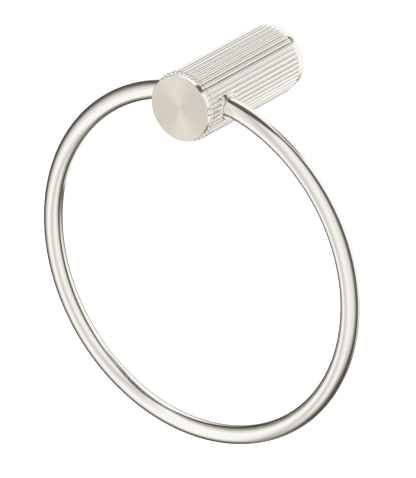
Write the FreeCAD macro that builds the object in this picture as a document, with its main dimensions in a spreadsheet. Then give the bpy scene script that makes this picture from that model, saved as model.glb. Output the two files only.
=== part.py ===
"""Towel ring: a fixed round ring held by one reeded post on a wall plate.

Frame in millimetres: the origin is the centre of the post's wall face, the wall
is the plane Y = 0, the post runs along -Y into the room and +Z is up.
"""
import FreeCAD, Part
import math
import os

import Sketcher
from FreeCAD import Vector

doc = FreeCAD.newDocument("TowelRing")
sheet = doc.addObject("Spreadsheet::Sheet", "Sizes")

# Driving sizes
SIZES = [
    ("ring_outer_diameter", "200", "ring, across its outside"),
    ("rod_diameter", "10", "round rod that the ring is bent from"),
    ("ring_from_front", "17.8", "front face to the plane of the ring"),
    ("ring_end_gap", "6", "between the two ring ends inside the core"),
    ("post_diameter", "38", "across the crests of opposite ribs"),
    ("post_length", "84.8", "wall to the front face"),
    ("rib_count", "43", "straight ribs round the post"),
    ("rib_width", "2.1", "width of one rib, whose crest is a half round"),
    ("rib_height", "1.4", "crest above the floor of the grooves"),
    ("rib_foot", "0.5", "depth of a rib's root in the tube"),
    ("rib_end_chamfer", "1", "slope that takes off the ends of the ribs"),
    ("sleeve_wall", "2.1", "wall of the post tube under its grooves"),
    ("cap_diameter", "35.6", "front disc"),
    ("cap_thickness", "3.6", "front disc, seen as the smooth front band"),
    ("cap_chamfer", "0.4", "edge of the front face"),
    ("cap_spigot_length", "4", "spigot pressed into the post tube"),
    ("cap_spigot_wall", "2.5", "wall of that spigot"),
    ("plate_diameter", "35.6", "wall plate"),
    ("plate_thickness", "4.7", "wall plate, seen as the smooth rear band"),
    ("plate_chamfer", "0.3", "edge of the wall plate at the wall"),
    ("hub_length", "12", "hub that the post tube slides over"),
    ("hub_wall", "2.6", "wall of the hub"),
    ("hub_groove_depth", "1", "vee groove that the post screw draws on"),
    ("hub_groove_from_plate", "6", "wall plate to the middle of that groove"),
    ("wall_screw_spacing", "16", "between the two wall screw holes"),
    ("wall_screw_hole", "4.5", "through hole for a wall screw"),
    ("wall_screw_sink", "8.6", "countersink for a wall screw's head"),
    ("collar_boss_wall", "0.55", "boss of a collar round the rod"),
    ("collar_groove_width", "0.45", "groove between that boss and the collar's lip"),
    ("collar_lip_width", "1.05", "lip of a collar"),
    ("collar_standout", "0.2", "collar lip beyond the rib crests"),
    ("collar_boss_standout", "0.6", "boss beyond the lip"),
    ("collar_groove_depth", "0.6", "lip to the floor of the groove"),
    ("collar_chamfer", "0.4", "both edges of the lip"),
    ("collar_seat", "12.5", "post axis to the flat that a collar sits on"),
    ("core_behind_ring", "13", "core behind the plane of the ring"),
    ("core_gap", "0.2", "between the core and the cap's spigot"),
    ("ring_screw_diameter", "5", "grub screw that clamps a ring end"),
    ("ring_screw_offset", "8.5", "post axis to that screw's axis"),
    ("ring_screw_socket", "2.5", "across the flats of its hexagon socket"),
    ("ring_screw_recess", "0.5", "screw's end below the core's rear face"),
    ("ring_flat_depth", "0.6", "spot face in the rod under a grub screw"),
    ("ring_flat_diameter", "6", "diameter of that spot face"),
    ("post_screw_diameter", "4", "grub screw on the underside of the post"),
    ("post_screw_socket", "2", "across the flats of its hexagon socket"),
    ("post_screw_recess", "1.5", "screw's end below the rib crests"),
    ("screw_chamfer", "0.4", "points of the ring's grub screws"),
    ("socket_depth", "1.6", "depth of the hexagon sockets"),
    ("slide_clearance", "0.05", "round the spigot, the hub and the core"),
    ("rod_clearance", "0.05", "round the rod in the core and the collars"),
    ("rod_end_gap", "0.3", "between a ring end and the bottom of its bore"),
    ("collar_clearance", "0.02", "round the collars in the post and the core"),
    ("thread_clearance", "0.03", "round the grub screws"),
]
for row, (alias, value, meaning) in enumerate(SIZES, start=1):
    sheet.set(f"A{row}", meaning)
    sheet.set(f"B{row}", value)
    sheet.setAlias(f"B{row}", alias)
doc.recompute()

# Sizes that follow from the driving ones, as expressions on the sheet
POST_R = "(Sizes.post_diameter / 2)"
ROOT_R = f"({POST_R} - Sizes.rib_height)"
BORE_R = f"({ROOT_R} - Sizes.sleeve_wall)"
FIT_R = f"({BORE_R} - Sizes.slide_clearance)"
ROD_R = "(Sizes.rod_diameter / 2)"
RING_R = f"(Sizes.ring_outer_diameter / 2 - {ROD_R})"
RING_DROP = f"sqrt({RING_R} ^ 2 - {POST_R} ^ 2)"
ENTRY_SIN = f"({POST_R} / {RING_R})"
ENTRY_COS = f"({RING_DROP} / {RING_R})"
ROD_END_LENGTH = f"(({POST_R} - Sizes.ring_end_gap / 2) / {ENTRY_COS})"
SLEEVE_LENGTH = "(Sizes.post_length - Sizes.cap_thickness - Sizes.plate_thickness)"
RING_FROM_WALL = "(Sizes.post_length - Sizes.ring_from_front)"
RING_FROM_PLATE = f"({RING_FROM_WALL} - Sizes.plate_thickness)"
POST_SCREW_Y = "(Sizes.plate_thickness + Sizes.hub_groove_from_plate)"
BOSS_R = f"({ROD_R} + Sizes.rod_clearance + Sizes.collar_boss_wall)"
LIP_INSIDE = f"({BOSS_R} + Sizes.collar_groove_width)"
COLLAR_R = f"({LIP_INSIDE} + Sizes.collar_lip_width)"
COLLAR_TIP = f"({POST_R} + Sizes.collar_standout)"
CORE_FRONT = (
    "(Sizes.ring_from_front - Sizes.cap_thickness - Sizes.cap_spigot_length"
    " - Sizes.core_gap)"
)
RING_SCREW_RISE = f"({POST_R} - Sizes.ring_screw_offset) * {ENTRY_SIN} / {ENTRY_COS}"
CLEAR_OF_PART = "2"


def value_of(expression):
    """Return the present value of an expression as a plain number."""
    return float(sheet.evalExpression(expression))


def bind(thing, **expressions):
    """Bind properties, named with _ for a dot, to expressions."""
    for name, expression in expressions.items():
        thing.setExpression(name.replace("_", "."), expression)


def new_body(label, x="0", y="0", z="0"):
    """Start a piece whose own origin lies at x, y, z in the shared frame."""
    body = doc.addObject("PartDesign::Body", label)
    body.Label = label
    bind(body, Placement_Base_x=x, Placement_Base_y=y, Placement_Base_z=z)
    return body


def origin_plane(body, role):
    """Return the body's own XY, XZ or YZ plane."""
    return next(f for f in body.Origin.OriginFeatures if f.Role == role)


def new_sketch(body, name, role, offset="0"):
    """Put a sketch on an origin plane, moved along the plane's normal."""
    sketch = body.newObject("Sketcher::SketchObject", f"{body.Label}_{name}")
    sketch.AttachmentSupport = [(origin_plane(body, role), "")]
    sketch.MapMode = "FlatFace"
    bind(sketch, AttachmentOffset_Base_z=offset)
    return sketch


def pin_point(sketch, geometry, position, x, y):
    """Hold a point of the sketch at two expressions from its origin."""
    for direction, expression in (("DistanceX", x), ("DistanceY", y)):
        constraint = sketch.addConstraint(
            Sketcher.Constraint(direction, -1, 1, geometry, position, value_of(expression))
        )
        sketch.setExpression(f"Constraints[{constraint}]", expression)


def add_circle(sketch, x, y, radius):
    """Add a circle whose centre and radius are expressions."""
    centre = Vector(value_of(x), value_of(y), 0)
    circle = sketch.addGeometry(Part.Circle(centre, Vector(0, 0, 1), value_of(radius)), False)
    pin_point(sketch, circle, 3, x, y)
    constraint = sketch.addConstraint(Sketcher.Constraint("Radius", circle, value_of(radius)))
    sketch.setExpression(f"Constraints[{constraint}]", radius)


def line_to(x, y):
    """One straight edge of an outline, ending at x, y."""
    return {"end": (x, y)}


def arc_to(x, y, centre_x, centre_y, clockwise=False):
    """One round edge of an outline, ending at x, y."""
    return {"end": (x, y), "centre": (centre_x, centre_y), "clockwise": clockwise}


def arc_edge(start, end, centre, clockwise):
    """Return the arc from start to end, and which of its ends is the start."""
    if clockwise:
        start, end = end, start
    first = math.atan2(start.y - centre.y, start.x - centre.x)
    last = math.atan2(end.y - centre.y, end.x - centre.x)
    circle = Part.Circle(centre, Vector(0, 0, 1), centre.distanceToPoint(start))
    return Part.ArcOfCircle(circle, first, last), (2 if clockwise else 1)


def draw_edges(sketch, start, edges):
    """Draw edges one after another and tie their ends and centres to the sizes."""
    corners = [start] + [edge["end"] for edge in edges]
    points = [Vector(value_of(x), value_of(y), 0) for x, y in corners]
    drawn = []
    for before, after, edge in zip(points, points[1:], edges):
        if "centre" in edge:
            centre = Vector(value_of(edge["centre"][0]), value_of(edge["centre"][1]), 0)
            shape, start_position = arc_edge(before, after, centre, edge["clockwise"])
        else:
            shape, start_position = Part.LineSegment(before, after), 1
        drawn.append((sketch.addGeometry(shape, False), start_position))
    for (geometry, start_position), edge in zip(drawn, edges):
        pin_point(sketch, geometry, 3 - start_position, *edge["end"])
    for (before, before_start), (after, after_start) in zip(drawn, drawn[1:]):
        sketch.addConstraint(
            Sketcher.Constraint("Coincident", before, 3 - before_start, after, after_start)
        )
    for (geometry, _), edge, before, after in zip(drawn, edges, points, points[1:]):
        if "centre" not in edge:
            continue
        chord = after - before
        across = 0 if abs(chord.y) > abs(chord.x) else 1
        direction = ("DistanceX", "DistanceY")[across]
        expression = edge["centre"][across]
        constraint = sketch.addConstraint(
            Sketcher.Constraint(direction, -1, 1, geometry, 3, value_of(expression))
        )
        sketch.setExpression(f"Constraints[{constraint}]", expression)
    return drawn


def add_outline(sketch, edges):
    """Draw a closed outline, whose last edge ends where its first one starts."""
    drawn = draw_edges(sketch, edges[-1]["end"], edges)
    first, first_start = drawn[0]
    last, last_start = drawn[-1]
    sketch.addConstraint(
        Sketcher.Constraint("Coincident", last, 3 - last_start, first, first_start)
    )


def add_path(sketch, start, edges):
    """Draw an open path from a start point."""
    first, first_start = draw_edges(sketch, start, edges)[0]
    pin_point(sketch, first, first_start, *start)


def add_axis(sketch, start, end):
    """Add a construction line that a section can be turned about."""
    points = [Vector(value_of(x), value_of(y), 0) for x, y in (start, end)]
    axis = sketch.addGeometry(Part.LineSegment(*points), True)
    pin_point(sketch, axis, 1, *start)
    pin_point(sketch, axis, 2, *end)


def turn(body, name, sketch, axis, kind="Revolution"):
    """Turn a sketch right round one of its own axes, to add or to cut."""
    feature = body.newObject(f"PartDesign::{kind}", f"{body.Label}_{name}")
    feature.Profile = sketch
    feature.ReferenceAxis = (sketch, [axis])
    feature.Angle = 360
    doc.recompute()
    return feature


def cut_through(body, name, sketch, reverse=False, both_ways=False):
    """Cut a sketch right through the body, to one side or to both."""
    feature = body.newObject("PartDesign::Pocket", f"{body.Label}_{name}")
    feature.Profile = sketch
    feature.Type = "ThroughAll"
    feature.Reversed = reverse
    feature.Midplane = both_ways
    doc.recompute()
    return feature


def mirror(body, name, originals, role):
    """Repeat features on the other side of one of the body's own planes."""
    feature = body.newObject("PartDesign::Mirrored", f"{body.Label}_{name}")
    feature.Originals = originals
    feature.MirrorPlane = (origin_plane(body, role), [""])
    body.Tip = feature
    doc.recompute()
    return feature


def on_rod_line(side, inward, up):
    """Point in the plane of the ring, from where the rod's line meets the post.

    inward is the distance along the straight rod end, up is square to it.
    """
    x = f"{side} * ({POST_R} - ({inward}) * {ENTRY_COS} + ({up}) * {ENTRY_SIN})"
    z = f"({inward}) * {ENTRY_SIN} + ({up}) * {ENTRY_COS}"
    return x, z


def cut_rod_bore(body, side):
    """Drill the slanted bore that a straight rod end sits in."""
    mouth = f"-{CLEAR_OF_PART}"
    bottom = f"{ROD_END_LENGTH} + Sizes.rod_end_gap"
    bore_r = f"{ROD_R} + Sizes.rod_clearance"
    sketch = new_sketch(body, "rod_bore_section", "XZ_Plane")
    add_outline(sketch, [
        line_to(*on_rod_line(side, mouth, "0")),
        line_to(*on_rod_line(side, mouth, bore_r)),
        line_to(*on_rod_line(side, bottom, bore_r)),
        line_to(*on_rod_line(side, bottom, "0")),
    ])
    add_axis(sketch, on_rod_line(side, mouth, "0"), on_rod_line(side, bottom, "0"))
    return turn(body, "rod_bore", sketch, "Axis0", kind="Groove")


def make_wall_plate():
    """Plate and hub: a turned flange with a grooved tube, and two screw holes."""
    body = new_body("wall_plate")
    plate_r = "Sizes.plate_diameter / 2"
    chamfer = "Sizes.plate_chamfer"
    front = "-Sizes.plate_thickness"
    tip = "-(Sizes.plate_thickness + Sizes.hub_length)"
    groove = "Sizes.hub_groove_depth"
    sketch = new_sketch(body, "section", "XY_Plane")
    add_outline(sketch, [
        line_to("0", "0"),
        line_to(f"{plate_r} - {chamfer}", "0"),
        line_to(plate_r, f"-{chamfer}"),
        line_to(plate_r, front),
        line_to(FIT_R, front),
        line_to(FIT_R, f"-({POST_SCREW_Y} - {groove})"),
        line_to(f"{FIT_R} - {groove}", f"-{POST_SCREW_Y}"),
        line_to(FIT_R, f"-({POST_SCREW_Y} + {groove})"),
        line_to(FIT_R, tip),
        line_to(f"{FIT_R} - Sizes.hub_wall", tip),
        line_to(f"{FIT_R} - Sizes.hub_wall", front),
        line_to("0", front),
    ])
    turn(body, "turned", sketch, "V_Axis")

    hole_z = "Sizes.wall_screw_spacing / 2"
    hole_r = "Sizes.wall_screw_hole / 2"
    sink_r = "Sizes.wall_screw_sink / 2"
    above_front = f"{front} - {CLEAR_OF_PART}"
    section = new_sketch(body, "screw_hole_section", "YZ_Plane")
    add_outline(section, [
        line_to(CLEAR_OF_PART, hole_z),
        line_to(CLEAR_OF_PART, f"{hole_z} + {hole_r}"),
        line_to(f"{front} + {sink_r} - {hole_r}", f"{hole_z} + {hole_r}"),
        line_to(front, f"{hole_z} + {sink_r}"),
        line_to(above_front, f"{hole_z} + {sink_r}"),
        line_to(above_front, hole_z),
    ])
    add_axis(section, (above_front, hole_z), (CLEAR_OF_PART, hole_z))
    hole = turn(body, "screw_hole", section, "Axis0", kind="Groove")
    mirror(body, "second_screw_hole", [hole], "XY_Plane")
    return body


def make_rib(body):
    """Add the top rib: a half-round bar whose two ends are sloped off."""
    half = "Sizes.rib_width / 2"
    foot = f"{ROOT_R} - Sizes.rib_foot"
    shoulder = f"{POST_R} - {half}"
    section = new_sketch(body, "rib_section", "XZ_Plane")
    add_outline(section, [
        line_to(f"-{half}", foot),
        line_to(half, foot),
        line_to(half, shoulder),
        arc_to(f"-{half}", shoulder, "0", shoulder),
    ])
    rib = body.newObject("PartDesign::Pad", "post_sleeve_rib")
    rib.Profile = section
    bind(rib, Length=SLEEVE_LENGTH)
    doc.recompute()

    slopes = new_sketch(body, "rib_end_slopes", "YZ_Plane")
    above = f"{POST_R} + {CLEAR_OF_PART}"
    low = f"{POST_R} - Sizes.rib_end_chamfer - {CLEAR_OF_PART}"
    reach = f"(Sizes.rib_end_chamfer + {CLEAR_OF_PART})"
    for end, inward in (("0", "-1"), (f"-{SLEEVE_LENGTH}", "1")):
        past_end = f"{end} - {inward} * {CLEAR_OF_PART}"
        add_outline(slopes, [
            line_to(past_end, low),
            line_to(past_end, above),
            line_to(f"{end} + {inward} * {reach}", above),
        ])
    sloped = body.newObject("PartDesign::Pocket", "post_sleeve_rib_ends")
    sloped.Profile = slopes
    sloped.Midplane = True
    bind(sloped, Length="Sizes.rib_width")
    doc.recompute()
    return [rib, sloped]


def make_post_sleeve():
    """Reeded tube: half-round ribs on a plain tube, with holes across it."""
    body = new_body("post_sleeve", y="-Sizes.plate_thickness")
    section = new_sketch(body, "tube_section", "XY_Plane")
    add_outline(section, [
        line_to(BORE_R, "0"),
        line_to(ROOT_R, "0"),
        line_to(ROOT_R, f"-{SLEEVE_LENGTH}"),
        line_to(BORE_R, f"-{SLEEVE_LENGTH}"),
    ])
    turn(body, "tube", section, "V_Axis")

    one_rib = make_rib(body)
    ribs = body.newObject("PartDesign::PolarPattern", "post_sleeve_ribs")
    ribs.Originals = one_rib
    ribs.Axis = (next(f for f in body.Origin.OriginFeatures if f.Role == "Y_Axis"), [""])
    ribs.Angle = 360
    bind(ribs, Occurrences="Sizes.rib_count")
    body.Tip = ribs
    doc.recompute()

    collar_hole = new_sketch(body, "collar_hole", "YZ_Plane")
    add_circle(collar_hole, f"-{RING_FROM_PLATE}", "0", f"{COLLAR_R} + Sizes.collar_clearance")
    cut_through(body, "collar_holes", collar_hole, both_ways=True)
    screw_hole = new_sketch(body, "screw_hole", "XY_Plane")
    screw_hole_r = "Sizes.post_screw_diameter / 2 + Sizes.thread_clearance"
    add_circle(screw_hole, "0", "-Sizes.hub_groove_from_plate", screw_hole_r)
    cut_through(body, "post_screw_hole", screw_hole)
    return body


def make_front_cap():
    """Turned front disc with a hollow spigot pressed into the post tube."""
    body = new_body("front_cap", y="-(Sizes.post_length - Sizes.cap_thickness)")
    cap_r = "Sizes.cap_diameter / 2"
    chamfer = "Sizes.cap_chamfer"
    face = "-Sizes.cap_thickness"
    sketch = new_sketch(body, "section", "XY_Plane")
    add_outline(sketch, [
        line_to("0", face),
        line_to(f"{cap_r} - {chamfer}", face),
        line_to(cap_r, f"{face} + {chamfer}"),
        line_to(cap_r, "0"),
        line_to(FIT_R, "0"),
        line_to(FIT_R, "Sizes.cap_spigot_length"),
        line_to(f"{FIT_R} - Sizes.cap_spigot_wall", "Sizes.cap_spigot_length"),
        line_to(f"{FIT_R} - Sizes.cap_spigot_wall", "0"),
        line_to("0", "0"),
    ])
    turn(body, "turned", sketch, "V_Axis")
    return body


def make_ring():
    """Round rod bent to a circle, whose straight ends run into the post.

    The right half is swept from the ring's lowest point and mirrored. A spot
    face behind each end takes the point of its grub screw.
    """
    body = new_body("ring", y=f"-{RING_FROM_WALL}", z=f"-{RING_DROP}")
    section = new_sketch(body, "rod_section", "YZ_Plane")
    add_circle(section, "0", f"-{RING_R}", ROD_R)
    path = new_sketch(body, "rod_path", "XZ_Plane")
    add_path(path, ("0", f"-{RING_R}"), [
        arc_to(POST_R, RING_DROP, "0", "0"),
        line_to("Sizes.ring_end_gap / 2", f"{RING_DROP} + {ROD_END_LENGTH} * {ENTRY_SIN}"),
    ])
    half = body.newObject("PartDesign::AdditivePipe", "ring_right_half")
    half.Profile = section
    half.Spine = path
    doc.recompute()

    spot = new_sketch(
        body, "spot_face", "XZ_Plane", offset=f"-({ROD_R} - Sizes.ring_flat_depth)"
    )
    add_circle(
        spot, "Sizes.ring_screw_offset", f"{RING_DROP} + {RING_SCREW_RISE}",
        "Sizes.ring_flat_diameter / 2"
    )
    spot_face = cut_through(body, "spot_face_cut", spot)
    mirror(body, "left_half", [half, spot_face], "YZ_Plane")
    return body


def make_collar(label, side):
    """Turned collar: a lip, a groove and a boss round the rod."""
    body = new_body(label, y=f"-{RING_FROM_WALL}")
    chamfer = "Sizes.collar_chamfer"
    lip = f"{side} * {COLLAR_TIP}"
    shoulder = f"{side} * ({COLLAR_TIP} - {chamfer})"
    floor = f"{side} * ({COLLAR_TIP} - Sizes.collar_groove_depth)"
    boss = f"{side} * ({COLLAR_TIP} + Sizes.collar_boss_standout)"
    seat = f"{side} * Sizes.collar_seat"
    sketch = new_sketch(body, "section", "XY_Plane")
    add_outline(sketch, [
        line_to(seat, "0"),
        line_to(seat, COLLAR_R),
        line_to(shoulder, COLLAR_R),
        line_to(lip, f"{COLLAR_R} - {chamfer}"),
        line_to(lip, f"{LIP_INSIDE} + {chamfer}"),
        line_to(shoulder, LIP_INSIDE),
        line_to(floor, LIP_INSIDE),
        line_to(floor, BOSS_R),
        line_to(boss, BOSS_R),
        line_to(boss, "0"),
    ])
    turn(body, "turned", sketch, "H_Axis")
    cut_rod_bore(body, side)
    return body


def make_ring_core():
    """Turned block in the post: seats for the collars, the rod and two screws."""
    body = new_body("ring_core", y=f"-{RING_FROM_WALL}")
    section = new_sketch(body, "section", "XY_Plane")
    add_outline(section, [
        line_to("0", f"-{CORE_FRONT}"),
        line_to(FIT_R, f"-{CORE_FRONT}"),
        line_to(FIT_R, "Sizes.core_behind_ring"),
        line_to("0", "Sizes.core_behind_ring"),
    ])
    turn(body, "turned", section, "V_Axis")

    seat = new_sketch(body, "collar_seat", "YZ_Plane", offset="Sizes.collar_seat")
    add_circle(seat, "0", "0", f"{COLLAR_R} + Sizes.collar_clearance")
    collar_seat = cut_through(body, "collar_seat_cut", seat, reverse=True)
    rod_bore = cut_rod_bore(body, "1")
    hole = new_sketch(body, "screw_hole", "XZ_Plane")
    hole_r = "Sizes.ring_screw_diameter / 2 + Sizes.thread_clearance"
    add_circle(hole, "Sizes.ring_screw_offset", RING_SCREW_RISE, hole_r)
    screw_hole = cut_through(body, "screw_hole_cut", hole)
    mirror(body, "left_side", [collar_seat, rod_bore, screw_hole], "YZ_Plane")
    return body


def cut_socket(body, plane, offset, across_flats):
    """Cut a hexagon socket into the end of a grub screw."""
    corner = f"{across_flats} / sqrt(3)"
    sketch = new_sketch(body, "socket_outline", plane, offset=offset)
    add_outline(sketch, [
        line_to(f"{corner} * cos({60 * side} deg)", f"{corner} * sin({60 * side} deg)")
        for side in range(6)
    ])
    socket = body.newObject("PartDesign::Pocket", f"{body.Label}_socket")
    socket.Profile = sketch
    socket.Reversed = True
    bind(socket, Length="Sizes.socket_depth")
    doc.recompute()


def make_ring_screw(label, side):
    """Grub screw along Y, from the rod's spot face to the core's rear."""
    body = new_body(
        label,
        x=f"{side} * Sizes.ring_screw_offset",
        y=f"-{RING_FROM_WALL}",
        z=RING_SCREW_RISE,
    )
    radius = "Sizes.ring_screw_diameter / 2"
    tip = f"{ROD_R} - Sizes.ring_flat_depth"
    end = "Sizes.core_behind_ring - Sizes.ring_screw_recess"
    chamfer = "Sizes.screw_chamfer"
    sketch = new_sketch(body, "section", "XY_Plane")
    add_outline(sketch, [
        line_to("0", tip),
        line_to(f"{radius} - {chamfer}", tip),
        line_to(radius, f"{tip} + {chamfer}"),
        line_to(radius, end),
        line_to("0", end),
    ])
    turn(body, "turned", sketch, "V_Axis")
    cut_socket(body, "XZ_Plane", f"-({end})", "Sizes.ring_screw_socket")
    return body


def make_post_screw():
    """Cone-point grub screw under the post, seated in the hub's vee groove."""
    body = new_body("post_screw", y=f"-{POST_SCREW_Y}")
    radius = "Sizes.post_screw_diameter / 2"
    tip = f"-({FIT_R} - Sizes.hub_groove_depth + Sizes.slide_clearance)"
    end = f"-({POST_R} - Sizes.post_screw_recess)"
    sketch = new_sketch(body, "section", "XZ_Plane")
    add_outline(sketch, [
        line_to("0", tip),
        line_to("0", end),
        line_to(radius, end),
        line_to(radius, f"{tip} - {radius}"),
    ])
    turn(body, "turned", sketch, "V_Axis")
    cut_socket(body, "XY_Plane", end, "Sizes.post_screw_socket")
    return body


bodies = [
    make_wall_plate(),
    make_post_sleeve(),
    make_front_cap(),
    make_ring(),
    make_collar("collar_right", "1"),
    make_collar("collar_left", "-1"),
    make_ring_core(),
    make_ring_screw("ring_screw_right", "1"),
    make_ring_screw("ring_screw_left", "-1"),
    make_post_screw(),
]
doc.recompute()

# Nothing is written unless every feature and every solid is sound
for thing in doc.Objects:
    if "Invalid" in thing.State or "Error" in thing.State:
        raise RuntimeError(f"{thing.Name} failed: {thing.State}")
for body in bodies:
    if body.Shape.isNull() or not body.Shape.isValid() or len(body.Shape.Solids) != 1:
        raise RuntimeError(f"{body.Label} isn't one sound solid")

os.makedirs("parts", exist_ok=True)
for body in bodies:
    body.Shape.exportStep(f"parts/{body.Label}.step")
    box = body.Shape.optimalBoundingBox()
    print(
        f"{body.Label}: volume {body.Shape.Volume:.1f},"
        f" x {box.XMin:.2f} to {box.XMax:.2f},"
        f" y {box.YMin:.2f} to {box.YMax:.2f},"
        f" z {box.ZMin:.2f} to {box.ZMax:.2f}"
    )
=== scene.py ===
# %% [markdown]
# Towel ring on one reeded post
#
# The object is a bent round rod held by a short post that screws to a wall.
# All that shows of it has one satin nickel finish, so nearly everything that
# the eye sees is a reflection. Two things make such a model convincing: true
# curved meshes, whose smooth normals bend the reflections as a turned or bent
# part does, and a studio worth reflecting.
#
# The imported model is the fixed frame. It says where each piece lies. The
# visible pieces are made again as smooth meshes on the same places.

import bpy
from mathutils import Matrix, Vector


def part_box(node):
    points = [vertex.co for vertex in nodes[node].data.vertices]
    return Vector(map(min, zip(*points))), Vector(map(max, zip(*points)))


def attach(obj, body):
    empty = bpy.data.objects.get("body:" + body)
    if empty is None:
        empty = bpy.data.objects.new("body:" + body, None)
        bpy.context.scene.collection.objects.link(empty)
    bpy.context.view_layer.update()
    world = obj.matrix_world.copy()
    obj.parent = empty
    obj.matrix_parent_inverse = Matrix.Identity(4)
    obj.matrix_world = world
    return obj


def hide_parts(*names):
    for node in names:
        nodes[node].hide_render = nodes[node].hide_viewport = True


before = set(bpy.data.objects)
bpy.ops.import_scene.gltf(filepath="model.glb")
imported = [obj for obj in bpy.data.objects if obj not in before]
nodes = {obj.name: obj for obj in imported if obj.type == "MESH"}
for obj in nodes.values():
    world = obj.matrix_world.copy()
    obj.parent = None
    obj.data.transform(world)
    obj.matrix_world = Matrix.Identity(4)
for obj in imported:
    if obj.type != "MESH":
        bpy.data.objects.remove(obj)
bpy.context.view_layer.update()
print("frame nodes:", sorted(nodes))

# %% [markdown]
# Sizes
#
# Lengths are in metres. What the frame's boxes can tell is read from them, so
# the new pieces follow the frame. The rest are workshop sizes, and each is
# named where its piece is made.

# %% Sizes from the frame
import math

import bmesh
import bpy
from mathutils import Matrix, Vector

MM = 0.001

ring_low, ring_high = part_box("ring")
sleeve_low, sleeve_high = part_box("post_sleeve")
cap_low, cap_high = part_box("front_cap")
plate_low, plate_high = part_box("wall_plate")
collar_low, collar_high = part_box("collar_right")

ROD_R = (ring_high.y - ring_low.y) / 2
RING_Y = (ring_high.y + ring_low.y) / 2
RING_R = (ring_high.x - ring_low.x) / 2 - ROD_R
RING_Z = ring_low.z + ROD_R + RING_R
POST_R = sleeve_high.z
SLEEVE_REAR = sleeve_high.y
SLEEVE_FRONT = sleeve_low.y
CAP_R = cap_high.x
CAP_FACE = cap_low.y
SPIGOT_END = cap_high.y
PLATE_R = plate_high.x
HUB_END = plate_low.y
COLLAR_R = collar_high.z
COLLAR_SEAT = collar_low.x
BOSS_TIP = collar_high.x
print(f"ring radius {RING_R:.4f}, rod radius {ROD_R:.4f}, post radius {POST_R:.4f}")

# %% [markdown]
# Turning a mesh into a finished piece
#
# Every piece ends the same way: doubles are merged, the normals are turned
# outwards, faces are shaded smooth and edges sharper than a set angle stay
# crisp. The object itself stays at the origin, as the frame's nodes do.

# %% Finish a piece
MERGE_DISTANCE = 1e-7
CRISP_ANGLE = math.radians(32)


def object_from(bm, name):
    """Turn a bmesh into an object of the same name and link it to the scene."""
    mesh = bpy.data.meshes.new(name)
    bm.to_mesh(mesh)
    bm.free()
    made = bpy.data.objects.new(name, mesh)
    bpy.context.scene.collection.objects.link(made)
    return made


def shade(piece):
    """Shade a piece smooth, with crisp edges where its faces meet sharply."""
    piece.data.shade_smooth()
    piece.data.set_sharp_from_angle(angle=CRISP_ANGLE)


def finish_piece(bm, name, material):
    """Close a bmesh into an object that rides on the part's one body."""
    bmesh.ops.remove_doubles(bm, verts=bm.verts, dist=MERGE_DISTANCE)
    bmesh.ops.recalc_face_normals(bm, faces=bm.faces)
    piece = object_from(bm, name)
    piece.data.materials.append(material)
    shade(piece)
    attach(piece, "root")
    print(f"{name}: {len(piece.data.polygons)} faces")
    return piece


# %% [markdown]
# Turned parts
#
# The cap, the wall plate and the collars come off a lathe. In Blender that is
# a spin: half of the section is drawn as a chain of edges, and one operator
# turns it round the axis. A bevel then rounds the rims, because a real edge
# is never a perfect line and its small round catches a bright glint.

# %% Spin a section and round its rims
OUTWARD = Vector((0, -1, 0))
TO_WALL = Vector((0, 1, 0))
UP = Vector((0, 0, 1))
SIDEWAYS = Vector((1, 0, 0))
TURN_STEPS = 180
RIM_SEGMENTS = 4
NEAR = 1e-6


def turned(section, axis, across, centre=(0, 0, 0), steps=TURN_STEPS):
    """Spin a chain of (radius, distance along the axis) points into a bmesh."""
    bm = bmesh.new()
    centre = Vector(centre)
    chain = [bm.verts.new(centre + across * r + axis * along) for r, along in section]
    for before, after in zip(chain, chain[1:]):
        bm.edges.new((before, after))
    bmesh.ops.spin(
        bm, geom=bm.verts[:] + bm.edges[:], cent=centre, axis=axis,
        angle=math.tau, steps=steps, use_merge=True
    )
    bmesh.ops.remove_doubles(bm, verts=bm.verts, dist=MERGE_DISTANCE)
    return bm


def round_rim(bm, axis, radius, along, offset, centre=(0, 0, 0), segments=RIM_SEGMENTS):
    """Bevel the circle of edges at one radius and place along the axis."""
    def on_rim(vert):
        arm = vert.co - Vector(centre)
        height = arm.dot(axis)
        reach = (arm - axis * height).length
        return abs(height - along) < NEAR and abs(reach - radius) < NEAR

    rim = [edge for edge in bm.edges if all(on_rim(vert) for vert in edge.verts)]
    bmesh.ops.bevel(
        bm, geom=rim, offset=offset, offset_type="OFFSET", segments=segments,
        profile=0.5, affect="EDGES", material=-1
    )


# %% [markdown]
# Drilled holes
#
# A hole is a Boolean modifier with a turned cutter. The modifier's result is
# copied back into the piece's own mesh, so nothing is left to compute later.
# A cutter starts and ends a little outside the metal, so that no two faces
# lie on each other.

# %% Drill a piece with a turned cutter
HOLE_STEPS = 96
BEYOND = 2 * MM


def pin_section(radius, start, end):
    """Section of a plain round pin."""
    return [(0, start), (radius, start), (radius, end), (0, end)]


def drill(piece, section, axis, across, centre):
    """Cut a turned shape out of a piece."""
    bm = turned(section, axis, across, centre, HOLE_STEPS)
    bmesh.ops.recalc_face_normals(bm, faces=bm.faces)
    cutter = object_from(bm, "cutter")
    cut = piece.modifiers.new("hole", "BOOLEAN")
    cut.operation = "DIFFERENCE"
    cut.solver = "EXACT"
    cut.object = cutter
    bpy.context.view_layer.update()
    graph = bpy.context.evaluated_depsgraph_get()
    result = bpy.data.meshes.new_from_object(piece.evaluated_get(graph))
    piece.modifiers.clear()
    spent = [piece.data, cutter.data]
    piece.data = result
    result.name = piece.name
    bpy.data.objects.remove(cutter)
    for mesh in spent:
        bpy.data.meshes.remove(mesh)
    shade(piece)


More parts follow.
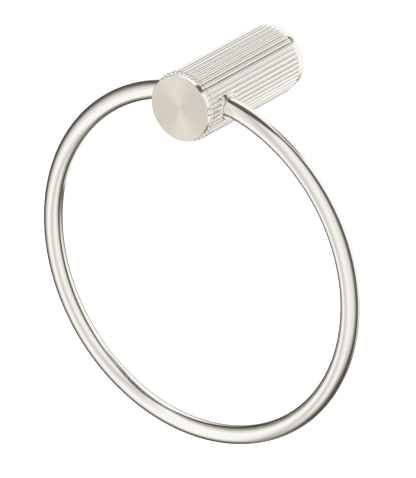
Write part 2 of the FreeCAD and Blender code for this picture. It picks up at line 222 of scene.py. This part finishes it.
# %% [markdown]
# Nickel
#
# The metal is one alloy with four surfaces: rubbed on the rod and the collars,
# drawn along the ribs, turned smooth on the two rims, and spun in circles on
# the front disc. A Principled shader with Metallic at 1 takes its whole
# colour from reflections, so roughness decides how soft they are. Fine noise,
# stretched along the strokes of the brush, varies the roughness and tilts the
# surface a little. On the disc an anisotropic lobe, wide across the strokes,
# opens the bright fans that turned faces show. The disc's colour is painted
# darker and warmer than the rest of the alloy, as painted shade.

# %% Node helpers
def new_material(name):
    """Start a node material and return it with its node tree and shader."""
    material = bpy.data.materials.new(name)
    material.use_nodes = True
    tree = material.node_tree
    shader = tree.nodes["Principled BSDF"]
    return material, tree, shader


def add_node(tree, kind, links=(), **settings):
    """Add a node, set its properties and plug links into its inputs."""
    node = tree.nodes.new(kind)
    for key, value in settings.items():
        setattr(node, key, value)
    for socket, source in links:
        if hasattr(source, "is_output"):
            tree.links.new(source, node.inputs[socket])
        else:
            node.inputs[socket].default_value = source
    return node


def number_of(tree, operation, *sources):
    """Number that one Math node works out from its sources."""
    node = add_node(tree, "ShaderNodeMath", enumerate(sources), operation=operation)
    return node.outputs[0]


def vector_of(tree, operation, *sources, output="Vector"):
    """Vector or Value that one Vector Math node works out from its sources."""
    node = add_node(tree, "ShaderNodeVectorMath", enumerate(sources), operation=operation)
    return node.outputs[output]


def spread_of(tree, value, low, high, to_low=0.0, to_high=1.0):
    """Number spread from the range low to high over another range."""
    node = add_node(tree, "ShaderNodeMapRange", [
        ("Value", value), ("From Min", low), ("From Max", high),
        ("To Min", to_low), ("To Max", to_high),
    ])
    return node.outputs[0]


def object_place(tree):
    """Place on the piece, in metres from its origin."""
    return add_node(tree, "ShaderNodeTexCoord").outputs["Object"]


# %% Brush strokes on metal
NICKEL = (0.96, 0.94, 0.90)
TINT = 0.02
GRAIN = 0.0003 * MM
NOISE_DETAIL = 3.0
NOISE_FALL = 0.6
NOISE_RANGE = (0.3, 0.7)


def brushed(tree, shader, place, strokes, rough, depth, metal=NICKEL):
    """Drive roughness, colour and fine grooves with noise stretched along the strokes."""
    stretched = vector_of(tree, "MULTIPLY", place, strokes)
    noise = add_node(tree, "ShaderNodeTexNoise", [
        ("Vector", stretched), ("Scale", 1.0), ("Detail", NOISE_DETAIL), ("Roughness", NOISE_FALL),
    ]).outputs["Fac"]
    tree.links.new(spread_of(tree, noise, *NOISE_RANGE, *rough), shader.inputs["Roughness"])
    shade_value = spread_of(tree, noise, *NOISE_RANGE, 1 - TINT, 1.0)
    colour = vector_of(tree, "MULTIPLY", metal, shade_value)
    tree.links.new(colour, shader.inputs["Base Color"])
    ridges = add_node(tree, "ShaderNodeBump", [
        ("Height", noise), ("Strength", 1.0), ("Distance", depth),
    ])
    tree.links.new(ridges.outputs[0], shader.inputs["Normal"])
    shader.inputs["Metallic"].default_value = 1.0


# %% Rubbed, drawn and turned nickel
# Strokes are counted per metre along x, y and z. A small count makes them long,
# and three equal counts give them no direction.
RUBBED_STROKES = (900, 900, 900)
DRAWN_STROKES = (4000, 60, 4000)
RIM_STROKES = (600, 4000, 600)


def make_nickel(name, strokes, rough):
    """Nickel with its own strokes and its own range of roughness."""
    material, tree, shader = new_material(name)
    brushed(tree, shader, object_place(tree), strokes, rough, GRAIN)
    return material


rubbed_nickel = make_nickel("rubbed_nickel", RUBBED_STROKES, rough=(0.10, 0.13))
drawn_nickel = make_nickel("drawn_nickel", DRAWN_STROKES, rough=(0.05, 0.08))
rim_nickel = make_nickel("rim_nickel", RIM_STROKES, rough=(0.10, 0.14))

# %% Spun nickel of the front disc
# The disc's nickel is darker and warmer than the rest of the alloy: painted shade for the dim spun
# face.
SPUN_SHADED_METAL = (0.84, 0.785, 0.70)
SPUN_STROKES = (5000, 5000, 1)
SPUN_ROUGH = (0.29, 0.33)
SPUN_DEPTH = 0.005 * MM


def make_spun_nickel():
    """Nickel brushed in circles round the post, in a darker, warmer colour that is painted shade.
    """
    material, tree, shader = new_material("spun_nickel")
    x, y, z = add_node(tree, "ShaderNodeSeparateXYZ", [(0, object_place(tree))]).outputs
    flat = add_node(tree, "ShaderNodeCombineXYZ", [(0, x), (2, z)]).outputs[0]
    reach = vector_of(tree, "LENGTH", flat, output="Value")
    rings = add_node(tree, "ShaderNodeCombineXYZ", [(0, reach), (1, y)]).outputs[0]
    brushed(tree, shader, rings, SPUN_STROKES, SPUN_ROUGH, SPUN_DEPTH, SPUN_SHADED_METAL)
    along_stroke = vector_of(tree, "CROSS_PRODUCT", flat, TO_WALL)
    normal = add_node(tree, "ShaderNodeNewGeometry").outputs["Normal"]
    across_stroke = vector_of(tree, "CROSS_PRODUCT", along_stroke, normal)
    tangent = vector_of(tree, "NORMALIZE", across_stroke)
    tree.links.new(tangent, shader.inputs["Tangent"])
    shader.inputs["Anisotropic"].default_value = 1.0
    return material


spun_nickel = make_spun_nickel()
print("materials:", [material.name for material in bpy.data.materials])

# %% [markdown]
# The ring
#
# The real ring is one rod, bent to a circle in a roller. Its two ends run
# straight into the post. A torus would be quicker to add, but it has no such
# ends. Here a circle of vertices is the rod's section. One spin carries it
# round the ring, and each end is extruded straight inwards, along the tangent,
# to where the block in the post stops it.

# %% Bend the ring
SECTION_STEPS = 64
ARC_STEPS = 320
END_GAP = 6 * MM
entry_angle = math.asin(POST_R / RING_R)
ring_centre = Vector((0, RING_Y, RING_Z))


def only(kind, items):
    """Items of one kind out of an operator's mixed result."""
    return [item for item in items if isinstance(item, kind)]


def way_in(side):
    """Direction in which the rod's straight end runs into the post."""
    return Vector((-side * math.cos(entry_angle), 0, math.sin(entry_angle)))


def make_ring():
    """One bent rod with two straight ends inside the post."""
    bm = bmesh.new()
    upright = Matrix.Rotation(math.pi / 2, 4, "Y")
    lift = Matrix.Translation(ring_centre + Vector((0, 0, RING_R)))
    swing = Matrix.Rotation(entry_angle, 4, "Y")
    start = Matrix.Translation(ring_centre) @ swing @ Matrix.Translation(-ring_centre)
    bmesh.ops.create_circle(
        bm, cap_ends=True, segments=SECTION_STEPS, radius=ROD_R, matrix=start @ lift @ upright
    )
    first = bm.faces[:]
    bent = bmesh.ops.spin(
        bm, geom=first, cent=ring_centre, axis=TO_WALL,
        angle=math.tau - 2 * entry_angle, steps=ARC_STEPS
    )
    last = only(bmesh.types.BMFace, bent["geom_last"])
    run = (POST_R - END_GAP / 2) / math.cos(entry_angle)
    for side, face in ((1, first[0]), (-1, last[0])):
        grown = bmesh.ops.extrude_discrete_faces(bm, faces=[face])["faces"]
        bmesh.ops.translate(bm, verts=grown[0].verts[:], vec=way_in(side) * run)
    piece = finish_piece(bm, "bent_ring", rubbed_nickel)
    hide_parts("ring")


make_ring()

# %% [markdown]
# The reeded sleeve
#
# The tube of the post carries straight half-round ribs. Rods laid on a tube
# would leave faces hidden inside each other, so the ribs and the tube are made
# as one closed shell. One rib is drawn as a chain of edges by spinning single
# vertices, carried along the post row by row, and its two noses are rounded
# down to the tube. Copies all round are merged, and the tube's bore and its two
# ends close the shell. A row of vertices just behind each nose holds the
# normals of the long faces straight.

# %% Draw one rib and its share of the groove
RIB_COUNT = 43
RIB_R = 1.05 * MM
FLOOR_R = 17.6 * MM
CREST_STEPS = 12
pitch = math.tau / RIB_COUNT
foot_angle = math.asin(RIB_R / FLOOR_R)


def spun_vert(bm, vert, centre, angle, steps=1):
    """Spin one vertex into a chain of edges and return its last vertex."""
    arc = bmesh.ops.spin(bm, geom=[vert], cent=centre, axis=TO_WALL, angle=angle, steps=steps)
    return only(bmesh.types.BMVert, arc["geom_last"])[0]


def rib_section(bm, y):
    """Chain of edges across one pitch: floor, side, crest, side and floor."""
    centre = (0, y, 0)
    crest_z = POST_R - RIB_R
    left = Matrix.Rotation(-pitch / 2, 4, "Y") @ Vector((0, 0, FLOOR_R))
    floor = bm.verts.new((left.x, y, left.z))
    swing = pitch / 2 - foot_angle
    foot = spun_vert(bm, floor, centre, swing)
    shoulder = bm.verts.new((-RIB_R, y, crest_z))
    bm.edges.new((foot, shoulder))
    far_shoulder = spun_vert(bm, shoulder, (0, y, crest_z), math.pi, CREST_STEPS)
    far_foot = bm.verts.new((-foot.co.x, y, foot.co.z))
    bm.edges.new((far_shoulder, far_foot))
    spun_vert(bm, far_foot, centre, swing)


print(f"{RIB_COUNT} ribs, one each {math.degrees(pitch):.2f} degrees")

# %% Round the ribs' noses
NOSE = 0.9 * MM
NOSE_ROWS = 6
HOLD_ROW = 0.15 * MM


def rows_along_sleeve():
    """Places along the sleeve, close together where the noses are round."""
    turns = [index / NOSE_ROWS * math.pi / 2 for index in range(NOSE_ROWS + 1)]
    front = [SLEEVE_FRONT + NOSE * (1 - math.cos(turn)) for turn in turns]
    rear = [SLEEVE_REAR - NOSE * (1 - math.cos(turn)) for turn in reversed(turns)]
    held = [front[-1] + HOLD_ROW, rear[0] - HOLD_ROW]
    return front + held + rear


def slide_to_radius(vert, radius):
    """Slide a vertex straight towards or away from the post's axis."""
    scale = radius / math.hypot(vert.co.x, vert.co.z)
    vert.co.x *= scale
    vert.co.z *= scale


def round_nose(vert):
    """Lower a vertex towards the tube near the ends of its rib."""
    reach = math.hypot(vert.co.x, vert.co.z)
    from_end = min(vert.co.y - SLEEVE_FRONT, SLEEVE_REAR - vert.co.y)
    if from_end < NOSE:
        share = math.sqrt(max(0, 1 - (1 - from_end / NOSE) ** 2))
        slide_to_radius(vert, FLOOR_R + (reach - FLOOR_R) * share)


# %% Repeat the rib and close the tube
BORE_R = 15.5 * MM


def ends_of(bm, y):
    """Open edges of the shell at one end."""
    def at_end(edge):
        return all(abs(vert.co.y - y) < MERGE_DISTANCE for vert in edge.verts)

    return [edge for edge in bm.edges if edge.is_boundary and at_end(edge)]


def make_sleeve():
    """Reeded tube, still without its holes."""
    bm = bmesh.new()
    rows = rows_along_sleeve()
    rib_section(bm, rows[0])
    edges = bm.edges[:]
    for before, after in zip(rows, rows[1:]):
        grown = bmesh.ops.extrude_edge_only(bm, edges=edges)["geom"]
        moved = only(bmesh.types.BMVert, grown)
        bmesh.ops.translate(bm, verts=moved, vec=(0, after - before, 0))
        edges = only(bmesh.types.BMEdge, grown)
    for vert in bm.verts:
        round_nose(vert)
    bmesh.ops.spin(
        bm, geom=bm.faces[:], cent=(0, 0, 0), axis=TO_WALL,
        angle=pitch * (RIB_COUNT - 1), steps=RIB_COUNT - 1, use_duplicate=True
    )
    bmesh.ops.remove_doubles(bm, verts=bm.verts, dist=NEAR)
    inner = []
    for y in (SLEEVE_FRONT, SLEEVE_REAR):
        grown = bmesh.ops.extrude_edge_only(bm, edges=ends_of(bm, y))["geom"]
        for vert in only(bmesh.types.BMVert, grown):
            slide_to_radius(vert, BORE_R)
        inner += only(bmesh.types.BMEdge, grown)
    bmesh.ops.bridge_loops(bm, edges=inner)
    return finish_piece(bm, "reeded_sleeve", drawn_nickel)


# %% Drill the sleeve for the collars and the post screw
HOLE_GAP = 0.02 * MM
POST_SCREW_R = 2 * MM
POST_SCREW_Y = -10.7 * MM

sleeve = make_sleeve()
half_through = POST_R + BEYOND
collar_hole = pin_section(COLLAR_R + HOLE_GAP, -half_through, half_through)
screw_hole = pin_section(POST_SCREW_R, 0, half_through)
drill(sleeve, collar_hole, SIDEWAYS, UP, (0, RING_Y, 0))
drill(sleeve, screw_hole, -UP, SIDEWAYS, (0, POST_SCREW_Y, 0))
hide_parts("post_sleeve")
print(f"sleeve after drilling: {len(sleeve.data.polygons)} faces")

# %% [markdown]
# The front cap
#
# A turned disc closes the post. Its face is brushed in circles and very
# slightly hollow, as hand brushing leaves it. A hollow spigot behind it is
# pressed into the tube. An extra ring of vertices beside the rounded edge
# holds the rim's normals true, so the round stays a thin line.

# %% Turn the cap
FIT_R = 15.45 * MM
SPIGOT_WALL = 2.5 * MM
CAP_ROUND = 0.4 * MM
FACE_HOLLOW = 0.4 * MM
FACE_RINGS = 12
FACE_MARGIN = 0.1 * MM
FACING_FRONT = 0.97


def make_cap():
    """Front disc with its spigot, with spun metal on the faces that look forwards."""
    face, back, end = -CAP_FACE, -SLEEVE_FRONT, -SPIGOT_END
    shares = [index / FACE_RINGS for index in range(FACE_RINGS + 1)]
    inside = CAP_R - CAP_ROUND - HOLD_ROW
    hold = face - CAP_ROUND - HOLD_ROW
    section = [(inside * share, face - FACE_HOLLOW * (1 - share ** 2)) for share in shares]
    section += [
        (CAP_R, face), (CAP_R, hold), (CAP_R, back), (FIT_R, back), (FIT_R, end),
        (FIT_R - SPIGOT_WALL, end), (FIT_R - SPIGOT_WALL, back), (0, back),
    ]
    bm = turned(section, OUTWARD, UP)
    round_rim(bm, OUTWARD, CAP_R, face, CAP_ROUND)
    piece = finish_piece(bm, "spun_cap", rim_nickel)
    piece.data.materials.append(spun_nickel)
    deepest = CAP_FACE + FACE_HOLLOW + FACE_MARGIN
    for polygon in piece.data.polygons:
        if polygon.center.y < deepest and polygon.normal.y < -FACING_FRONT:
            polygon.material_index = 1
    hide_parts("front_cap")


make_cap()

# %% [markdown]
# The wall plate
#
# The plate lies flat on the wall and shows as a narrow smooth band behind
# the ribs. Its hub holds the sleeve, and two countersunk holes take screws.
# It is turned like the cap, with a small groove round the hub for the tip of
# the post's screw. A countersunk hole widens to a cone, so its cutter is a
# turned section as well and cuts the hole and its sink in one go.

# %% Turn and drill the plate
PLATE_ROUND = 0.3 * MM
HUB_WALL = 2.6 * MM
HUB_GROOVE = 1 * MM
SCREW_SPACING = 16 * MM
SCREW_HOLE_R = 2.25 * MM
SCREW_SINK_R = 4.3 * MM


def make_plate():
    """Wall plate with its grooved hub."""
    front, end = -SLEEVE_REAR, -HUB_END
    groove = -POST_SCREW_Y
    section = [
        (0, 0), (PLATE_R, 0), (PLATE_R, front), (FIT_R, front),
        (FIT_R, groove - HUB_GROOVE), (FIT_R - HUB_GROOVE, groove), (FIT_R, groove + HUB_GROOVE),
        (FIT_R, end), (FIT_R - HUB_WALL, end), (FIT_R - HUB_WALL, front), (0, front),
    ]
    bm = turned(section, OUTWARD, UP)
    round_rim(bm, OUTWARD, PLATE_R, 0, PLATE_ROUND)
    piece = finish_piece(bm, "turned_plate", rim_nickel)
    slope = SCREW_SINK_R - SCREW_HOLE_R
    sink = [
        (0, -BEYOND), (SCREW_HOLE_R, -BEYOND), (SCREW_HOLE_R, front - slope),
        (SCREW_SINK_R, front), (SCREW_SINK_R, front + BEYOND), (0, front + BEYOND),
    ]
    for z in (SCREW_SPACING / 2, -SCREW_SPACING / 2):
        drill(piece, sink, OUTWARD, UP, (0, 0, z))
    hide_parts("wall_plate")


make_plate()

# %% [markdown]
# The collars
#
# A small turned collar dresses each hole where the ring enters the post. From
# the outside inwards it has a lip just proud of the ribs, a narrow groove, and
# a boss that reaches a little further along the rod. The lip's two edges and
# the boss's one are rounded by bevels, which leaves the lip a narrow flat top.
# The bore is slanted, because the ring's ends are.

# %% Turn and drill the collars
COLLAR_STEPS = 128
LIP_WIDTH = 1.05 * MM
LIP_PROUD = 0.2 * MM
LIP_ROUND = 0.3 * MM
LIP_SEGMENTS = 8
GROOVE_WIDTH = 0.45 * MM
GROOVE_DEPTH = 0.6 * MM
BOSS_ROUND = 0.2 * MM
ROD_GAP = 0.05 * MM
BORE_INSIDE = 16 * MM
BORE_OUTSIDE = 6 * MM
LIP_TIP = POST_R + LIP_PROUD
LIP_INSIDE = COLLAR_R - LIP_WIDTH
GROOVE_FLOOR = LIP_TIP - GROOVE_DEPTH
BOSS_R = LIP_INSIDE - GROOVE_WIDTH


def make_collar(node, side):
    """Turned collar on one side of the post."""
    axis = SIDEWAYS * side
    centre = (0, RING_Y, 0)
    section = [
        (0, COLLAR_SEAT), (COLLAR_R, COLLAR_SEAT), (COLLAR_R, LIP_TIP), (LIP_INSIDE, LIP_TIP),
        (LIP_INSIDE, GROOVE_FLOOR), (BOSS_R, GROOVE_FLOOR), (BOSS_R, BOSS_TIP), (0, BOSS_TIP),
    ]
    bm = turned(section, axis, UP, centre, COLLAR_STEPS)
    for edge_r in (COLLAR_R, LIP_INSIDE):
        round_rim(bm, axis, edge_r, LIP_TIP, LIP_ROUND, centre, LIP_SEGMENTS)
    round_rim(bm, axis, BOSS_R, BOSS_TIP, BOSS_ROUND, centre)
    piece = finish_piece(bm, f"turned_{node}", rubbed_nickel)
    mouth = Vector((side * POST_R, RING_Y, 0))
    bore = pin_section(ROD_R + ROD_GAP, -BORE_OUTSIDE, BORE_INSIDE)
    drill(piece, bore, way_in(side), way_in(side).cross(TO_WALL), mouth)
    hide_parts(node)


make_collar("collar_right", 1)
make_collar("collar_left", -1)

# %% [markdown]
# Inside the post
#
# The block that holds the ring's ends and the grub screws stay as the frame
# has them, because hardly anything of them can be seen. They only need a
# metal of their own: brass for the block and plain steel for the screws.

# %% Brass and steel
BRASS = (0.70, 0.52, 0.25, 1)
BRASS_ROUGH = 0.32
STEEL = (0.42, 0.42, 0.42, 1)
STEEL_ROUGH = 0.38
UNEVEN = 0.06
SPECKS = 1500.0


def make_plain_metal(name, colour, rough):
    """Machined metal with a fine uneven sheen."""
    material, tree, shader = new_material(name)
    noise = add_node(tree, "ShaderNodeTexNoise",
                     [("Vector", object_place(tree)), ("Scale", SPECKS)]).outputs["Fac"]
    sheen = spread_of(tree, noise, 0.0, 1.0, rough - UNEVEN, rough + UNEVEN)
    tree.links.new(sheen, shader.inputs["Roughness"])
    shader.inputs["Base Color"].default_value = colour
    shader.inputs["Metallic"].default_value = 1.0
    return material


def dress(node, material):
    """Give a frame node a material in all its slots."""
    mesh = nodes[node].data
    mesh.materials.clear()
    mesh.materials.append(material)


turned_brass = make_plain_metal("turned_brass", BRASS, BRASS_ROUGH)
screw_steel = make_plain_metal("screw_steel", STEEL, STEEL_ROUGH)
dress("ring_core", turned_brass)
for screw in ("ring_screw_left", "ring_screw_right", "post_screw"):
    dress(screw, screw_steel)
print("dressed the inner pieces")

# %% [markdown]
# The light tent
#
# Satin metal shows what stands round it. Product photographers put such
# pieces in a white tent and leave dark gaps between its panels, because the
# dark streaks are what makes the metal read as round. The tent here is a
# small sphere that only reflections see. It stands close round the object, so
# the ring's left and right sides see its panels from different places. Its
# brightness depends on the direction from its centre: two wide bright panels,
# two dark gaps between them, a dark roof, a dark lower edge on the wall's
# side that leans down to the right, with a bright strip under it far back, and
# one round dark flag behind the post. Nothing in it is quite black, as dark
# cards still give back a little light, and the darker a place is, the warmer
# its grey.

# %% Tones of the tent
# Each stop is an angle in degrees and a grey. Azimuth 0 points straight at the
# wall and 90 to the right. Height 0 is level and 90 is straight up.
AZIMUTH_STOPS = [
    (-180, 0.64), (-163, 0.82), (-150, 1.0), (-138, 1.0), (-124, 0.80), (-108, 0.54),
    (-98, 0.33), (-86, 0.16), (-68, 0.10), (-53, 0.09), (-46, 0.90), (-36, 1.0), (-10, 1.0),
    (30, 1.0), (49, 0.96), (51.5, 0.12), (62, 0.10), (76, 0.14), (86, 0.50), (100, 0.82),
    (140, 0.96), (160, 0.84), (180, 0.64),
]
ROOF_STOPS = [(-90, 1.0), (60, 1.0), (70, 0.14), (90, 0.14)]
EDGE_STOPS = [
    (-90, 0.28), (-74, 0.20), (-64, 0.12), (-48, 0.13), (-41, 0.22), (-34, 0.44), (-26, 0.75),
    (-16, 0.96), (-6, 1.0), (90, 1.0),
]
STRIP_STOPS = [(-90, 0.0), (-62, 0.0), (-57, 0.8), (-50, 0.8), (-46.5, 0.0), (90, 0.0)]
EDGE_LEAN = math.radians(30)
WALL_SIDE = (-0.35, 0.05)
FAR_BACK = (0.46, 0.56)
FLAG_WAY = Vector((0.32, 0.735, 0.60)).normalized()
FLAG_EDGE = (0.972, 0.988)
FLAG_GREY = 0.12
DARKEST = 0.09
CARD_COLOUR = (1.0, 0.93, 0.82)
TO_WHITE = (0.0, 0.07, 0.18)


def ramp_of(tree, angle, stops):
    """Grey that an angle has on a ramp that runs from the first stop to the last."""
    low, high = stops[0][0], stops[-1][0]
    share = spread_of(tree, angle, math.radians(low), math.radians(high))
    node = add_node(tree, "ShaderNodeValToRGB", [("Fac", share)])
    ramp = node.color_ramp
    ramp.interpolation = "EASE"
    ramp.elements.remove(ramp.elements[1])
    for index, (degrees, grey) in enumerate(stops):
        position = (degrees - low) / (high - low)
        element = ramp.elements.new(position) if index else ramp.elements[0]
        element.position = position
        element.color = (grey, grey, grey, 1)
    return node.outputs["Color"]


print(f"{len(AZIMUTH_STOPS)} tones round the tent")

# %% Cloth of the tent
def lower_edge(tree, x, y, height):
    """Grey of the leaning lower edge and its far strip, only on the wall's side."""
    leaning = number_of(tree, "MULTIPLY_ADD", x, EDGE_LEAN, height)
    dark_edge = ramp_of(tree, leaning, EDGE_STOPS)
    strip = ramp_of(tree, leaning, STRIP_STOPS)
    far_strip = number_of(tree, "MULTIPLY", strip, spread_of(tree, y, *FAR_BACK))
    edge = number_of(tree, "MAXIMUM", dark_edge, far_strip)
    on_side = add_node(tree, "ShaderNodeMix", [
        ("Factor", spread_of(tree, y, *WALL_SIDE)), ("A", 1.0), ("B", edge),
    ])
    return on_side.outputs[0]


def make_tent_cloth():
    """Emission whose strength depends on the direction from the tent's centre."""
    material, tree = new_material("tent_cloth")[:2]
    tree.nodes.clear()
    way = vector_of(tree, "NORMALIZE", object_place(tree))
    x, y, z = add_node(tree, "ShaderNodeSeparateXYZ", [(0, way)]).outputs
    height = number_of(tree, "ARCSINE", z)
    walls = ramp_of(tree, number_of(tree, "ARCTAN2", x, y), AZIMUTH_STOPS)
    roof = ramp_of(tree, height, ROOF_STOPS)
    to_flag = vector_of(tree, "DOT_PRODUCT", way, FLAG_WAY, output="Value")
    past_flag = spread_of(tree, to_flag, *FLAG_EDGE, 1.0, FLAG_GREY)
    light = walls
    for shadow in (lower_edge(tree, x, y, height), roof, past_flag):
        light = number_of(tree, "MULTIPLY", light, shadow)
    light = number_of(tree, "MAXIMUM", light, DARKEST)
    warmth = vector_of(tree, "MULTIPLY_ADD", light, TO_WHITE, CARD_COLOUR)
    glow = add_node(tree, "ShaderNodeEmission", [("Color", warmth), ("Strength", light)])
    add_node(tree, "ShaderNodeOutputMaterial", [("Surface", glow.outputs[0])])
    return material


# %% Set up the tent
TENT_RADIUS = 0.35
TENT_CENTRE = (0, RING_Y, 0)
TENT_SEGMENTS = 64
TENT_RINGS = 32


def make_tent():
    """Sphere round the object that only reflections see."""
    bm = bmesh.new()
    bmesh.ops.create_uvsphere(
        bm, u_segments=TENT_SEGMENTS, v_segments=TENT_RINGS, radius=TENT_RADIUS)
    tent = object_from(bm, "light_tent")
    tent.data.materials.append(make_tent_cloth())
    tent.location = TENT_CENTRE
    tent.visible_camera = False
    tent.visible_diffuse = False
    tent.visible_shadow = False
    tent.visible_transmission = False


make_tent()
print(f"tent of {TENT_RADIUS} m radius")

# %% [markdown]
# Floor, world and lamps
#
# A towel ring hangs about a metre over the floor, so its floor and its shadow
# lie far below the picture. The world is plain white for the camera and gives
# an even light to everything else. Two large soft lamps light what isn't
# polished. They are kept out of reflections, because the tent gives those.

# %% Floor
FLOOR_DROP = 1.0
FLOOR_REACH = 12
FLOOR_GREY = 0.9
FLOOR_ROUGH = 0.9
FLOOR_GLOW = 0.5
WHITE = (1, 1, 1, 1)


def seen_directly(tree):
    """One for camera, glossy and transmitted rays, and zero for the rest."""
    rays = add_node(tree, "ShaderNodeLightPath").outputs
    seen = number_of(tree, "MAXIMUM", rays["Is Camera Ray"], rays["Is Glossy Ray"])
    return number_of(tree, "MAXIMUM", seen, rays["Is Transmission Ray"])


def make_floor():
    """Plain pale floor that keeps the object's shadow."""
    material, tree, shader = new_material("pale_floor")
    shader.inputs["Base Color"].default_value = (FLOOR_GREY, FLOOR_GREY, FLOOR_GREY, 1)
    shader.inputs["Roughness"].default_value = FLOOR_ROUGH
    plain = shader.outputs[0]
    glow = add_node(tree, "ShaderNodeEmission", [("Color", WHITE), ("Strength", FLOOR_GLOW)])
    both = add_node(tree, "ShaderNodeAddShader", [(0, plain), (1, glow.outputs[0])])
    mixed = add_node(tree, "ShaderNodeMixShader",
                     [(0, seen_directly(tree)), (1, plain), (2, both.outputs[0])])
    tree.links.new(mixed.outputs[0], tree.nodes["Material Output"].inputs["Surface"])
    bm = bmesh.new()
    bmesh.ops.create_grid(bm, x_segments=1, y_segments=1, size=FLOOR_REACH)
    bmesh.ops.translate(bm, verts=bm.verts, vec=(0, 0, ring_low.z - FLOOR_DROP))
    floor = object_from(bm, "floor")
    floor.data.materials.append(material)
    floor.visible_glossy = False


make_floor()
print(f"floor {FLOOR_DROP} m below the ring")

# %% World and lamps
AMBIENT = 0.75
LAMPS = [
    {"name": "key", "place": (-1.6, -2.4, 2.2), "size": 1.6, "watts": 60},
    {"name": "fill", "place": (2.4, -1.8, 1.2), "size": 1.8, "watts": 30},
]


def make_world():
    """White for the camera and for reflections, a plain level for the rest."""
    world = bpy.data.worlds.new("studio")
    bpy.context.scene.world = world
    world.use_nodes = True
    tree = world.node_tree
    tree.nodes.clear()
    strength = spread_of(tree, seen_directly(tree), 0.0, 1.0, AMBIENT, 1.0)
    sky = add_node(tree, "ShaderNodeBackground", [("Color", WHITE), ("Strength", strength)])
    add_node(tree, "ShaderNodeOutputWorld", [("Surface", sky.outputs[0])])


def add_lamp(name, place, size, watts):
    """Square soft lamp that points at the ring's centre."""
    light = bpy.data.lights.new(name, "AREA")
    light.shape = "SQUARE"
    light.size = size
    light.energy = watts
    lamp = bpy.data.objects.new(name, light)
    bpy.context.scene.collection.objects.link(lamp)
    lamp.location = place
    lamp.rotation_euler = (ring_centre - Vector(place)).to_track_quat("-Z", "Y").to_euler()
    lamp.visible_camera = False
    lamp.visible_glossy = False


make_world()
for lamp in LAMPS:
    add_lamp(**lamp)
print("lamps:", [lamp["name"] for lamp in LAMPS])

# %% [markdown]
# The camera
#
# The photograph was matched by fitting the ring's outline. It is seen from
# the right and a little above, through a very long lens, so there is hardly
# any perspective. The camera's turn is built from three directions at right
# angles to each other, so nothing has to track or aim it.

# %% Place the camera
CAMERA_AZIMUTH = math.radians(36.12)
CAMERA_ELEVATION = math.radians(24.59)
CAMERA_DISTANCE = 4.279
CAMERA_LENS = 623.5
SENSOR = 36.0
AIM_RIGHT = 4.17 * MM
AIM_UP = 12.28 * MM


def make_camera():
    """Camera on the photograph's line of sight."""
    sin_a, cos_a = math.sin(CAMERA_AZIMUTH), math.cos(CAMERA_AZIMUTH)
    sin_e, cos_e = math.sin(CAMERA_ELEVATION), math.cos(CAMERA_ELEVATION)
    back = Vector((sin_a * cos_e, -cos_a * cos_e, sin_e))
    right = Vector((cos_a, sin_a, 0))
    up = back.cross(right)
    data = bpy.data.cameras.new("camera")
    data.sensor_fit = "VERTICAL"
    data.sensor_height = SENSOR
    data.lens = CAMERA_LENS
    camera = bpy.data.objects.new("camera", data)
    bpy.context.scene.collection.objects.link(camera)
    place = ring_centre + right * AIM_RIGHT + up * AIM_UP + back * CAMERA_DISTANCE
    turn = Matrix((right, up, back)).transposed()
    camera.matrix_world = Matrix.Translation(place) @ turn.to_4x4()
    bpy.context.scene.camera = camera


make_camera()
bpy.context.scene.view_settings.view_transform = "Standard"
print(f"camera {CAMERA_DISTANCE} m away, lens of {CAMERA_LENS} mm")
